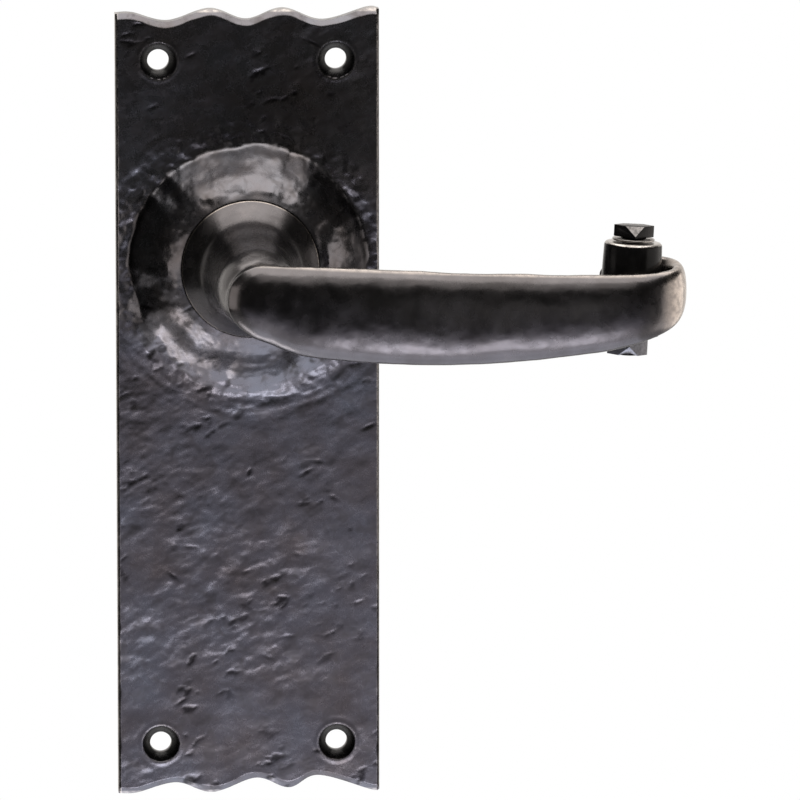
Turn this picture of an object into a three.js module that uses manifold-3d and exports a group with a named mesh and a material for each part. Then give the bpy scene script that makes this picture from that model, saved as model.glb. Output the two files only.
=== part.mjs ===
// Lever latch handle on a scalloped backplate, for a door or a gate.
// Millimetres, +Z up. The door's face is the plane Y = 0, the handle stands in front of it on the -Y side and the
// lever points to +X. The origin is the middle of the plate's back. The lever turns on the spindle axis, which is
// parallel to Y, and at rest it is level.
import * as THREE from 'three';
import { mergeVertices } from 'three/addons/utils/BufferGeometryUtils.js';
import Module from 'manifold-3d';

const wasm = await Module();
wasm.setup();

const { degToRad } = THREE.MathUtils;

// ---- Driving dimensions ------------------------------------------------------------------------------------------

const GAP = 0.3; // between pieces that touch
const CUT = 1; // how far a cutter reaches past the face that it opens
const ROUND = 40; // segments of a large turned piece
const SMALL_ROUND = 24;
const TINY_ROUND = 12;

const PLATE_WIDTH = 50.8;
const PLATE_HEIGHT = 153.2; // over the crests of the scalloped ends
const PLATE_THICKNESS = 4;
const PLATE_BEVEL = 0.8;

const SCREW_HOLE_X = 17.1; // from the middle of the plate
const SCREW_HOLE_Z = 66.8;
const SCREW_HOLE_RADIUS = 2.1;
const COUNTERSINK_RADIUS = 3.45;
const COUNTERSINK_DEPTH = 1.6;

const AXIS_Z = 27.8; // height of the spindle axis over the middle of the plate
const BOSS_FOOT_RADIUS = 23.9;
const BOSS_RIM_RADIUS = 13.5; // inside of the rim, where the collar sits
const BOSS_FRONT_Y = -14;
const RECESS_FLOOR_Y = -11.4; // behind the collar
const POCKET_RADIUS = 14.6; // spring pocket in the back of the boss
const POCKET_FLOOR_Y = -8.5;

const COLLAR_RADIUS = 13.2;
const COLLAR_BACK_Y = -12.6;
const NECK_RADIUS = 8;
const JOURNAL_RADIUS = 7.5;
const JOURNAL_END_Y = -0.8;
const JOURNAL_FLAT = 6.4; // from the axis to each flat that keys the driver plate

const BUSH_RADIUS = 9.6;
const BUSH_FLANGE_RADIUS = 11.5;
const BUSH_FLANGE_Y = -7.6; // back of the flange

const SPINDLE_SIDE = 7.9;
const SPINDLE_FRONT_Y = -26;
const SPINDLE_BACK_Y = 64;
const GRUB_SCREW_RADIUS = 2.3;
const GRUB_SCREW_Y = -21;

const PIN_X = 70.5;
const PIN_Y = -43.6;
const PIN_Z = 27.8;
const PIN_LEAN = degToRad(3);
const SLEEVE_RADIUS = 5.5;
const SLEEVE_HALF_LENGTH = 8.85;
const SHANK_RADIUS = 2.15;
const HEAD_SIDE = 5.4;
const HEAD_HEIGHT = 2.2;
const NUT_HEIGHT = 2.8;

const TRAVEL = degToRad(40); // how far the lever turns down
const ARM_ANGLE = degToRad(110); // of the driver's arm at rest, from +X towards +Z
const ARM_HALF_WIDTH = 2;
const STOP_RADIUS = 12.9; // from the axis to each stop pin
const STOP_PIN_RADIUS = 1.2;
const STOP_PIN_FRONT_Y = -10.4;
const DRIVER_FRONT_Y = -3.4;
const DRIVER_BACK_Y = -2.5;

const SPRING_RADIUS = 10.2; // from the axis to the middle of the wire
const WIRE_RADIUS = 0.55;
const SPRING_FRONT_Y = -6.75;
const SPRING_BACK_Y = -4.36;
const SPRING_LEG_RADIUS = 13.4; // from the axis to the tips of the legs

const CLIP_RADIUS = 7.2;
const CLIP_FRONT_Y = -2.2;
const CLIP_BACK_Y = -1.4;

const COVER_RADIUS = 20;
const COVER_SEAT_Y = -1.8;
const COVER_THICKNESS = 1.2;
const COVER_SCREW_RADIUS = 17.4; // from the axis to each cover screw
const COVER_SCREW_SHANK = 1.05;
const COVER_SCREW_HEAD = 2.1;
const COVER_SCREW_FRONT_Y = -6.5;

// The stop pins stand on the arm's two sides, clear of it by the gap at each end of its travel.
const STOP_OFFSET = (ARM_HALF_WIDTH + STOP_PIN_RADIUS + GAP) / STOP_RADIUS;
const REST_STOP_ANGLE = ARM_ANGLE + STOP_OFFSET;
const TRAVEL_STOP_ANGLE = ARM_ANGLE - TRAVEL - STOP_OFFSET;
const COVER_SCREW_ANGLES = [90, 210, 330].map(degToRad);

// ---- Materials ---------------------------------------------------------------------------------------------------

function metal(color, roughness, metalness = 1) {
  return new THREE.MeshStandardMaterial({ color, roughness, metalness });
}

const hammeredIron = metal(0x3d3a3e, 0.42);
const smoothIron = metal(0x38353a, 0.3);
const pinIron = metal(0x1c1b1d, 0.35);
const zincSteel = metal(0xb9bcc0, 0.35);
const springSteel = metal(0x6f7378, 0.3);
const bronze = metal(0xa9804a, 0.4);
const nylon = metal(0xe4e0d4, 0.6, 0);
const blackenedSteel = metal(0x26272a, 0.45);

// ---- Solids ------------------------------------------------------------------------------------------------------

/** Joins shared corners, drops triangles without area and turns the faces outwards. */
function closed(source) {
  const bare = source.clone();
  bare.deleteAttribute('normal');
  bare.deleteAttribute('uv');
  const geometry = mergeVertices(bare, 1e-4);
  const positions = geometry.getAttribute('position');
  const [a, b, c] = [new THREE.Vector3(), new THREE.Vector3(), new THREE.Vector3()];
  const faces = [];
  let volume = 0;
  for (let i = 0; i < geometry.index.count; i += 3) {
    const face = [0, 1, 2].map((k) => geometry.index.getX(i + k));
    if (new Set(face).size < 3) continue;
    [a, b, c].forEach((corner, k) => corner.fromBufferAttribute(positions, face[k]));
    volume += a.dot(b.cross(c));
    faces.push(face);
  }
  if (volume < 0) faces.forEach((face) => face.reverse());
  geometry.setIndex(faces.flat());
  return geometry;
}

function toManifold(geometry) {
  const body = closed(geometry);
  return new wasm.Manifold(
    new wasm.Mesh({
      numProp: 3,
      vertProperties: new Float32Array(body.getAttribute('position').array),
      triVerts: new Uint32Array(body.index.array),
    }),
  );
}

function toGeometry(manifold) {
  const mesh = manifold.getMesh();
  const geometry = new THREE.BufferGeometry();
  geometry.setAttribute('position', new THREE.BufferAttribute(mesh.vertProperties, mesh.numProp));
  geometry.setIndex(new THREE.BufferAttribute(mesh.triVerts, 1));
  return geometry;
}

/** The base, joined with the pieces in add, cut by the ones in cut and kept only inside the ones in keep. */
function combine(base, { add = [], cut = [], keep = [] }) {
  let body = toManifold(base);
  for (const piece of add) body = body.add(toManifold(piece));
  for (const piece of cut) body = body.subtract(toManifold(piece));
  for (const piece of keep) body = body.intersect(toManifold(piece));
  return toGeometry(body);
}

/** Turned piece on the Y axis. The profile is a list of [radius, y]. */
function turned(profile, segments = ROUND) {
  return new THREE.LatheGeometry(
    profile.map(([radius, y]) => new THREE.Vector2(radius, y)),
    segments,
  );
}

function disc(radius, front, back, segments = ROUND) {
  return turned([[0, front], [radius, front], [radius, back], [0, back]], segments);
}

function ring(inner, outer, front, back, segments = ROUND) {
  return turned([[inner, front], [outer, front], [outer, back], [inner, back], [inner, front]], segments);
}

/** Bar round the Y axis, from front to back, width along X and height along Z. */
function bar(width, height, front, back) {
  return new THREE.BoxGeometry(width, back - front, height).translate(0, (front + back) / 2, 0);
}

/** Flat outline in X and Z, made solid from front to back. */
function slab(shape, front, back, curveSegments = SMALL_ROUND) {
  const geometry = new THREE.ExtrudeGeometry(shape, { depth: back - front, bevelEnabled: false, curveSegments });
  return geometry.rotateX(Math.PI / 2).translate(0, back, 0);
}

/** Points of a smooth curve through a few given ones. */
function smooth(points, steps) {
  const curve = new THREE.SplineCurve(points.map(([x, y]) => new THREE.Vector2(x, y)));
  return curve.getPoints(steps).map((p) => [p.x, p.y]);
}

/** Closed skin over rings of points that all have the same count, with a point at the middle of each end. */
function loft(rings) {
  const sides = rings[0].length;
  const middle = (ring) => ring.reduce((sum, p) => sum.add(p), new THREE.Vector3()).divideScalar(sides);
  const points = [...rings.flat(), middle(rings[0]), middle(rings.at(-1))];
  const [firstEnd, lastEnd] = [points.length - 2, points.length - 1];
  const lastRing = (rings.length - 1) * sides;
  const faces = [];
  for (let j = 0; j < sides; j += 1) {
    const k = (j + 1) % sides;
    for (let row = 0; row < lastRing; row += sides) {
      faces.push(row + j, row + k, row + sides + j, row + k, row + sides + k, row + sides + j);
    }
    faces.push(firstEnd, k, j, lastEnd, lastRing + j, lastRing + k);
  }
  return new THREE.BufferGeometry().setFromPoints(points).setIndex(faces);
}

/** Moves a piece out from the Y axis, angle measured from +X towards +Z. */
function outAt(radius, angle, geometry) {
  return geometry.translate(radius * Math.cos(angle), 0, radius * Math.sin(angle));
}

/** Turns a piece made round the Y axis so that it stands on +Z. */
function upright(geometry) {
  return geometry.rotateX(Math.PI / 2);
}

// ---- Backplate ---------------------------------------------------------------------------------------------------

// Crests and troughs of the scalloped ends: [x from the left edge, depth below the crest line].
const TOP_SCALLOPS = [
  [0, 0.7], [3.4, 0.7], [10.1, 2.3], [18.3, 0], [25.3, 2.1], [32.3, 0], [39.9, 2.3], [48.4, 0], [50.8, 0.1],
];
const BOTTOM_SCALLOPS = [
  [0, 0], [3.6, 0.1], [11.2, 2], [18.3, 0], [26.8, 2.7], [33.2, 0.7], [38.9, 3.1], [49.2, 0.1], [50.8, 0.2],
];
const SCALLOP_STEPS = 32;

// Front of the boss, from its foot on the plate to the rim round the collar: [radius, y].
const BOSS_FLANK = [
  [BOSS_FOOT_RADIUS, -PLATE_THICKNESS], [22.4, -4.9], [21, -6.4], [19.6, -8.6], [18.2, -10.9], [16.8, -12.6],
  [15.2, -13.6], [BOSS_RIM_RADIUS, BOSS_FRONT_Y],
];

/** Outline at the depth y, drawn in by the inset on all sides. */
function plateRing(y, inset) {
  const [halfWidth, halfHeight] = [PLATE_WIDTH / 2, PLATE_HEIGHT / 2];
  const end = (scallops, sign) =>
    smooth(scallops, SCALLOP_STEPS).map(([x, dip]) => {
      const across = (x - halfWidth) * (1 - inset / halfWidth);
      return new THREE.Vector3(across, y, sign * (halfHeight - dip - inset));
    });
  return [...end(BOTTOM_SCALLOPS, -1), ...end(TOP_SCALLOPS, 1).reverse()];
}

/** Plate with a bevelled front edge. */
function plateBlank() {
  const front = -PLATE_THICKNESS;
  return loft([plateRing(0, 0), plateRing(front + PLATE_BEVEL, 0), plateRing(front, PLATE_BEVEL)]);
}

function countersunkHole(x, z) {
  const front = -PLATE_THICKNESS;
  const slope = (COUNTERSINK_RADIUS - SCREW_HOLE_RADIUS) / COUNTERSINK_DEPTH;
  const profile = [
    [0, front - CUT],
    [COUNTERSINK_RADIUS + slope * CUT, front - CUT],
    [SCREW_HOLE_RADIUS, front + COUNTERSINK_DEPTH],
    [SCREW_HOLE_RADIUS, CUT],
    [0, CUT],
  ];
  return turned(profile, SMALL_ROUND).translate(x, 0, z);
}

function backplate() {
  const insidePlate = -PLATE_THICKNESS / 2;
  const boss = turned([[0, insidePlate], [BOSS_FOOT_RADIUS, insidePlate], ...smooth(BOSS_FLANK, 14), [0, BOSS_FRONT_Y]]);
  const stopHole = () => disc(STOP_PIN_RADIUS + GAP, STOP_PIN_FRONT_Y - GAP, 0, TINY_ROUND);
  const screwHole = () => disc(COVER_SCREW_SHANK + GAP, COVER_SCREW_FRONT_Y - GAP, 0, TINY_ROUND);
  const onAxis = [
    disc(BOSS_RIM_RADIUS, BOSS_FRONT_Y - CUT, RECESS_FLOOR_Y),
    disc(BUSH_RADIUS + GAP, RECESS_FLOOR_Y - CUT, 0),
    disc(POCKET_RADIUS, POCKET_FLOOR_Y, CUT),
    disc(COVER_RADIUS + GAP, COVER_SEAT_Y, CUT),
    ...[REST_STOP_ANGLE, TRAVEL_STOP_ANGLE].map((angle) => outAt(STOP_RADIUS, angle, stopHole())),
    ...COVER_SCREW_ANGLES.map((angle) => outAt(COVER_SCREW_RADIUS, angle, screwHole())),
  ];
  const corners = [-1, 1].flatMap((i) => [-1, 1].map((j) => [i * SCREW_HOLE_X, j * SCREW_HOLE_Z]));
  return combine(plateBlank(), {
    add: [boss.translate(0, 0, AXIS_Z)],
    cut: [...onAxis.map((cutter) => cutter.translate(0, 0, AXIS_Z)), ...corners.map(([x, z]) => countersunkHole(x, z))],
  });
}

// ---- Lever -------------------------------------------------------------------------------------------------------

// The strap's middle line seen from above, with its lower and upper edge and its thickness on the way from the
// rounded end at the neck to the tip of the curl: [x, y, lower z, upper z, thickness].
const STRAP = [
  [-6.3, -49.2, 20.3, 33.9, 6.4],
  [1, -50, 18.9, 34, 6.8],
  [8, -51, 16.5, 33.7, 6.8],
  [18, -52, 15.3, 33.3, 6.8],
  [35, -52.7, 14.8, 32.6, 6.6],
  [51, -52.8, 15.3, 32.1, 6.4],
  [63, -52.7, 16.7, 31.8, 6],
  [71.5, -52.4, 18.5, 31.8, 5.2],
  [77.4, -50, 20.9, 32.1, 4.2],
  [79.3, -45, 23.4, 32.7, 3.3],
  [77.7, -39.3, 25.4, 33.1, 3],
  [73.4, -36.3, 26.6, 33, 2.9],
  [68.8, -36.3, 27.2, 32.2, 2.8],
  [65, -38.5, 27.5, 31.2, 2.6],
];
const STRAP_STEPS = 38;
const STRAP_SIDES = 16;
const END_STEPS = 5;
const START_ROUNDING = 7; // how far from each end the strap begins to narrow
const TIP_ROUNDING = 2.4;
const SQUARENESS = 2.6; // 2 is an oval section, more is squarer

const SOCKET_CLEARANCE = 0.25;
const SOCKET_SIDE = SPINDLE_SIDE + 2 * SOCKET_CLEARANCE;
const CLIP_GROOVE_DEPTH = 0.6;
const WAVE_SEAT_RADIUS = 11.4;
const WAVE_SEAT_Y = -14;

// Trumpet from the strap to the edge of the collar: [radius, y].
const NECK_FLARE = [
  [6.4, -47.8], [7.6, -43], [NECK_RADIUS, -36], [8.2, -28], [9, -21.5], [10.8, -17], [COLLAR_RADIUS, -14.4],
];

/** Places along the strap, in millimetres from its start, each with the share of its full section there. */
function strapStations(length) {
  const quarter = (k) => (k / END_STEPS) * (Math.PI / 2);
  const ends = Array.from({ length: END_STEPS }, (_, i) => i + 1);
  const start = ends.map((k) => [START_ROUNDING * (1 - Math.cos(quarter(k))), Math.sin(quarter(k))]);
  const tip = ends.map((k) => [length - TIP_ROUNDING * (1 - Math.cos(quarter(k))), Math.sin(quarter(k))]).reverse();
  const span = length - START_ROUNDING - TIP_ROUNDING;
  const body = Array.from({ length: STRAP_STEPS - 1 }, (_, i) => [START_ROUNDING + (span * (i + 1)) / STRAP_STEPS, 1]);
  return [...start, ...body, ...tip];
}

function superellipse(angle) {
  const bulge = (v) => Math.sign(v) * Math.abs(v) ** (2 / SQUARENESS);
  return [bulge(Math.cos(angle)), bulge(Math.sin(angle))];
}

function strap() {
  const way = new THREE.CatmullRomCurve3(STRAP.map(([x, y, , , thickness]) => new THREE.Vector3(x, y, thickness)));
  const edges = new THREE.CatmullRomCurve3(STRAP.map(([, , lower, upper]) => new THREE.Vector3(lower, upper, 0)));
  [way, edges].forEach((curve) => Object.assign(curve, { curveType: 'catmullrom' }));
  const length = way.getLength();
  const rings = strapStations(length).map(([distance, share]) => {
    const t = way.getUtoTmapping(distance / length);
    const place = way.getPoint(t);
    const edge = edges.getPoint(t);
    const along = way.getTangent(t).setZ(0).normalize();
    const across = new THREE.Vector3(-along.y, along.x, 0);
    const [middle, half] = [(edge.x + edge.y) / 2, (edge.y - edge.x) / 2];
    return Array.from({ length: STRAP_SIDES }, (_, j) => {
      const [u, v] = superellipse((j / STRAP_SIDES) * 2 * Math.PI);
      const point = new THREE.Vector3(place.x, place.y, middle + v * half * share);
      return point.addScaledVector(across, (u * share * place.z) / 2);
    });
  });
  return loft(rings);
}

/** Collar, neck and journal in one turned piece, open at the back for the wave washer. */
function turnedBody() {
  const [grooveFront, grooveBack] = [CLIP_FRONT_Y - GAP / 2, CLIP_BACK_Y + GAP / 2];
  const grooveRadius = JOURNAL_RADIUS - CLIP_GROOVE_DEPTH;
  return turned([
    [0, -50],
    [4.5, -49.6],
    ...smooth(NECK_FLARE, 14),
    [COLLAR_RADIUS, COLLAR_BACK_Y],
    [WAVE_SEAT_RADIUS, COLLAR_BACK_Y],
    [WAVE_SEAT_RADIUS, WAVE_SEAT_Y],
    [JOURNAL_RADIUS, WAVE_SEAT_Y],
    [JOURNAL_RADIUS, grooveFront],
    [grooveRadius, grooveFront],
    [grooveRadius, grooveBack],
    [JOURNAL_RADIUS, grooveBack],
    [JOURNAL_RADIUS, JOURNAL_END_Y],
    [0, JOURNAL_END_Y],
  ]);
}

function leverHandle() {
  const flatFront = DRIVER_FRONT_Y - GAP;
  const beyondFlat = bar(JOURNAL_RADIUS, 4 * JOURNAL_RADIUS, flatFront, CUT);
  const flatMiddle = JOURNAL_FLAT + JOURNAL_RADIUS / 2;
  const grubHole = upright(disc(GRUB_SCREW_RADIUS + GAP, -2 * NECK_RADIUS, -SOCKET_SIDE / 2 + CUT, SMALL_ROUND));
  const body = combine(turnedBody(), {
    cut: [
      bar(SOCKET_SIDE, SOCKET_SIDE, SPINDLE_FRONT_Y - GAP, CUT),
      beyondFlat.clone().translate(flatMiddle, 0, 0),
      beyondFlat.clone().translate(-flatMiddle, 0, 0),
      grubHole.translate(0, GRUB_SCREW_Y, 0),
    ],
  });
  return combine(body.translate(0, 0, AXIS_Z), { add: [strap()] });
}

// ---- Pieces on the spindle axis ----------------------------------------------------------------------------------

const CHAMFER = 0.7;

function spindle() {
  const half = SPINDLE_SIDE / 2;
  const inner = half - CHAMFER;
  const quarter = [[half, -inner], [half, inner]];
  const outline = [0, 1, 2, 3].flatMap((turn) =>
    quarter.map(([x, z]) => new THREE.Vector2(x, z).rotateAround(new THREE.Vector2(), (turn * Math.PI) / 2)),
  );
  return slab(new THREE.Shape(outline), SPINDLE_FRONT_Y, SPINDLE_BACK_Y);
}

function grubScrew() {
  const [inner, outer] = [SPINDLE_SIDE / 2 + GAP, NECK_RADIUS + GAP];
  const hexRadius = 1.45;
  const hexDepth = 2;
  const hex = disc(hexRadius, -outer - CUT, -outer + hexDepth, 6);
  const body = combine(disc(GRUB_SCREW_RADIUS, -outer, -inner, SMALL_ROUND), { cut: [hex] });
  return upright(body).translate(0, GRUB_SCREW_Y, 0);
}

function bearingBush() {
  const inner = JOURNAL_RADIUS + GAP;
  const [front, seat] = [RECESS_FLOOR_Y + GAP, POCKET_FLOOR_Y + GAP];
  return turned([
    [inner, front],
    [BUSH_RADIUS, front],
    [BUSH_RADIUS, seat],
    [BUSH_FLANGE_RADIUS, seat],
    [BUSH_FLANGE_RADIUS, BUSH_FLANGE_Y],
    [inner, BUSH_FLANGE_Y],
    [inner, front],
  ]);
}

function thrustWasher() {
  return ring(JOURNAL_RADIUS + GAP, COLLAR_RADIUS - GAP, COLLAR_BACK_Y + GAP, RECESS_FLOOR_Y - GAP);
}

/** Thin ring bent into three waves. */
function waveWasher() {
  const thickness = 0.3;
  const height = 0.3;
  const middle = (WAVE_SEAT_Y + COLLAR_BACK_Y) / 2;
  const inner = JOURNAL_RADIUS + 2 * GAP;
  const washer = ring(inner, WAVE_SEAT_RADIUS - GAP, middle - thickness / 2, middle + thickness / 2);
  const positions = washer.getAttribute('position');
  for (let i = 0; i < positions.count; i += 1) {
    const angle = Math.atan2(positions.getZ(i), positions.getX(i));
    positions.setY(i, positions.getY(i) + height * Math.sin(3 * angle));
  }
  return washer;
}

/** Torsion spring: nearly two turns of wire, with a leg standing out at each end. */
function returnSpring() {
  const legClearance = (STOP_PIN_RADIUS + WIRE_RADIUS + GAP) / STOP_RADIUS;
  const fixedLeg = TRAVEL_STOP_ANGLE + legClearance;
  const movingLeg = ARM_ANGLE - (ARM_HALF_WIDTH + WIRE_RADIUS + GAP) / STOP_RADIUS;
  const bend = degToRad(8); // of each end of the coil, where it turns out into its leg
  const turn = fixedLeg + 2 * 2 * Math.PI - movingLeg;
  const steps = 36;
  const at = (radius, angle, y) => new THREE.Vector3(radius * Math.cos(angle), y, radius * Math.sin(angle));
  const coil = Array.from({ length: steps + 1 }, (_, i) => {
    const share = i / steps;
    const angle = fixedLeg - bend - share * (turn - 2 * bend);
    return at(SPRING_RADIUS, angle, THREE.MathUtils.lerp(SPRING_FRONT_Y, SPRING_BACK_Y, share));
  });
  const leg = (angle, towardsCoil, y) => [
    at(SPRING_LEG_RADIUS, angle, y),
    at(SPRING_RADIUS + 1.6, angle, y),
    at(SPRING_RADIUS + 0.5, angle - towardsCoil * degToRad(1.5), y),
  ];
  const path = new THREE.CatmullRomCurve3([
    ...leg(fixedLeg, 1, SPRING_FRONT_Y),
    ...coil,
    ...leg(movingLeg, -1, SPRING_BACK_Y).reverse(),
  ]);
  const wire = new THREE.Shape().absarc(0, 0, WIRE_RADIUS, 0, 2 * Math.PI);
  return new THREE.ExtrudeGeometry(wire, { extrudePath: path, steps: 64, curveSegments: 4, bevelEnabled: false });
}

function driverPlate() {
  const discRadius = 9.2;
  const armEnd = 13.8;
  const [lugStart, lugFront] = [11.7, -5.2];
  const armPiece = (from, to, front) =>
    bar(to - from, 2 * ARM_HALF_WIDTH, front, DRIVER_BACK_Y).translate((from + to) / 2, 0, 0).rotateY(-ARM_ANGLE);
  const keyhole = combine(disc(JOURNAL_RADIUS + GAP, 2 * DRIVER_FRONT_Y, CUT), {
    keep: [bar(2 * (JOURNAL_FLAT + GAP), 4 * JOURNAL_RADIUS, 3 * DRIVER_FRONT_Y, 2 * CUT)],
  });
  return combine(disc(discRadius, DRIVER_FRONT_Y, DRIVER_BACK_Y), {
    add: [armPiece(JOURNAL_RADIUS + CUT, armEnd, DRIVER_FRONT_Y), armPiece(lugStart, armEnd, lugFront)],
    cut: [keyhole],
  });
}

/** Open ring with an ear on each side of its opening, which faces down. */
function retainingClip() {
  const outer = 9;
  const opening = 6;
  const ear = { radius: 1.2, from: 8.45, angle: degToRad(26), hole: 0.5 };
  const down = -Math.PI / 2;
  const earDisc = (side, radius, reach) =>
    outAt(ear.from, down + side * ear.angle, disc(radius, CLIP_FRONT_Y - reach, CLIP_BACK_Y + reach, TINY_ROUND));
  return combine(ring(CLIP_RADIUS, outer, CLIP_FRONT_Y, CLIP_BACK_Y), {
    add: [-1, 1].map((side) => earDisc(side, ear.radius, 0)),
    cut: [
      bar(opening, 2 * outer, CLIP_FRONT_Y - CUT, CLIP_BACK_Y + CUT).translate(0, 0, -outer),
      ...[-1, 1].map((side) => earDisc(side, ear.hole, CUT)),
    ],
  });
}

function stopPin(angle) {
  return outAt(STOP_RADIUS, angle, disc(STOP_PIN_RADIUS, STOP_PIN_FRONT_Y, DRIVER_BACK_Y + GAP, TINY_ROUND));
}

const COVER_FRONT_Y = COVER_SEAT_Y + GAP;
const COVER_BACK_Y = COVER_FRONT_Y + COVER_THICKNESS;

function coverPlate() {
  const opening = 10.2;
  const flare = COVER_SCREW_HEAD + GAP;
  const screwHole = () =>
    turned(
      [
        [0, COVER_FRONT_Y - CUT],
        [COVER_SCREW_SHANK + GAP, COVER_FRONT_Y - CUT],
        [COVER_SCREW_SHANK + GAP, COVER_FRONT_Y],
        [flare, COVER_BACK_Y],
        [flare, COVER_BACK_Y + CUT],
        [0, COVER_BACK_Y + CUT],
      ],
      TINY_ROUND,
    );
  return combine(ring(opening, COVER_RADIUS, COVER_FRONT_Y, COVER_BACK_Y), {
    cut: COVER_SCREW_ANGLES.map((angle) => outAt(COVER_SCREW_RADIUS, angle, screwHole())),
  });
}

function coverScrew(angle) {
  const slot = { width: 0.5, depth: 0.5 };
  const body = turned(
    [
      [0, COVER_SCREW_FRONT_Y],
      [COVER_SCREW_SHANK, COVER_SCREW_FRONT_Y],
      [COVER_SCREW_SHANK, COVER_FRONT_Y],
      [COVER_SCREW_HEAD, COVER_BACK_Y],
      [0, COVER_BACK_Y],
    ],
    TINY_ROUND,
  );
  const cutter = bar(2 * COVER_SCREW_HEAD + CUT, slot.width, COVER_BACK_Y - slot.depth, COVER_BACK_Y + CUT);
  return outAt(COVER_SCREW_RADIUS, angle, combine(body, { cut: [cutter] }));
}

// ---- Pin in the curl, made round its own axis --------------------------------------------------------------------

const WASHER_THICKNESS = 0.4;
const WASHER_RADIUS = 4;
const HEAD_BASE = SLEEVE_HALF_LENGTH + WASHER_THICKNESS + 2 * GAP;
const BORE_RADIUS = SHANK_RADIUS + GAP;

function pinSleeve() {
  const [flare, rounding] = [0.4, 0.3];
  const edge = SLEEVE_HALF_LENGTH - rounding;
  const profile = [
    [BORE_RADIUS, -SLEEVE_HALF_LENGTH],
    [SLEEVE_RADIUS + flare - rounding, -SLEEVE_HALF_LENGTH],
    [SLEEVE_RADIUS + flare, -edge],
    [SLEEVE_RADIUS, edge],
    [SLEEVE_RADIUS - rounding, SLEEVE_HALF_LENGTH],
    [BORE_RADIUS, SLEEVE_HALF_LENGTH],
    [BORE_RADIUS, -SLEEVE_HALF_LENGTH],
  ];
  return upright(turned(profile, 40));
}

/** Square head on its base, a corner to the front, with the front and the back upper corner cut off. */
function facetedHead(height) {
  const cutDepth = 1.9; // down each of the two corners, and in from it
  const toCorner = HEAD_SIDE / Math.SQRT2;
  const cutter = (side) => {
    const outward = new THREE.Vector3(0, side, 1).normalize();
    const middle = new THREE.Vector3(0, side * (toCorner - cutDepth / 2), (height - cutDepth) / 2);
    const centre = middle.addScaledVector(outward, HEAD_SIDE / 2);
    return new THREE.BoxGeometry(2 * HEAD_SIDE, HEAD_SIDE, HEAD_SIDE).rotateX(Math.PI / 4).translate(...centre);
  };
  const block = new THREE.BoxGeometry(HEAD_SIDE, HEAD_SIDE, height).rotateZ(Math.PI / 4);
  return combine(block, { cut: [cutter(-1), cutter(1)] }).translate(0, 0, HEAD_BASE + height / 2);
}

function pinBolt() {
  const shank = upright(disc(SHANK_RADIUS, -HEAD_BASE - NUT_HEIGHT, HEAD_BASE + HEAD_HEIGHT / 2, SMALL_ROUND));
  return combine(facetedHead(HEAD_HEIGHT), { add: [shank] });
}

function pinNut() {
  const bore = upright(disc(BORE_RADIUS, HEAD_BASE - CUT, HEAD_BASE + NUT_HEIGHT + CUT, SMALL_ROUND));
  return combine(facetedHead(NUT_HEIGHT), { cut: [bore] }).rotateX(Math.PI);
}

function pinWasher(side) {
  const inner = side * (SLEEVE_HALF_LENGTH + GAP);
  const outer = inner + side * WASHER_THICKNESS;
  return upright(ring(BORE_RADIUS, WASHER_RADIUS, Math.min(inner, outer), Math.max(inner, outer), SMALL_ROUND));
}

// ---- Assembly ----------------------------------------------------------------------------------------------------

function mesh(name, geometry, material) {
  const piece = new THREE.Mesh(closed(geometry), material);
  piece.name = name;
  return piece;
}

const spindleAxis = new THREE.Group();
spindleAxis.position.z = AXIS_Z;
spindleAxis.add(
  mesh('spindle', spindle(), zincSteel),
  mesh('grub_screw', grubScrew(), blackenedSteel),
  mesh('bearing_bush', bearingBush(), bronze),
  mesh('thrust_washer', thrustWasher(), nylon),
  mesh('wave_washer', waveWasher(), springSteel),
  mesh('return_spring', returnSpring(), springSteel),
  mesh('driver_plate', driverPlate(), zincSteel),
  mesh('retaining_clip', retainingClip(), springSteel),
  mesh('stop_pin_rest', stopPin(REST_STOP_ANGLE), zincSteel),
  mesh('stop_pin_travel', stopPin(TRAVEL_STOP_ANGLE), zincSteel),
  mesh('cover_plate', coverPlate(), zincSteel),
  ...COVER_SCREW_ANGLES.map((angle, i) => mesh(`cover_screw_${i + 1}`, coverScrew(angle), zincSteel)),
);

const pin = new THREE.Group();
pin.position.set(PIN_X, PIN_Y, PIN_Z);
pin.rotation.y = PIN_LEAN;
pin.add(
  mesh('pin_sleeve', pinSleeve(), pinIron),
  mesh('pin_bolt', pinBolt(), pinIron),
  mesh('pin_nut', pinNut(), pinIron),
  mesh('pin_washer_top', pinWasher(1), pinIron),
  mesh('pin_washer_bottom', pinWasher(-1), pinIron),
);

const handle = new THREE.Group();
handle.add(mesh('backplate', backplate(), hammeredIron), mesh('lever_handle', leverHandle(), smoothIron));
handle.add(spindleAxis, pin);

export default handle;
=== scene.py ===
# Looks of the lever latch handle on its scalloped backplate. Shapes are worked out in millimetres in the
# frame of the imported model: +Z up, the door's face at Y = 0, the handle on the -Y side, the lever to +X.
import math

import bmesh
import bpy
import numpy as np
from mathutils import Matrix, Vector, noise

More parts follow.
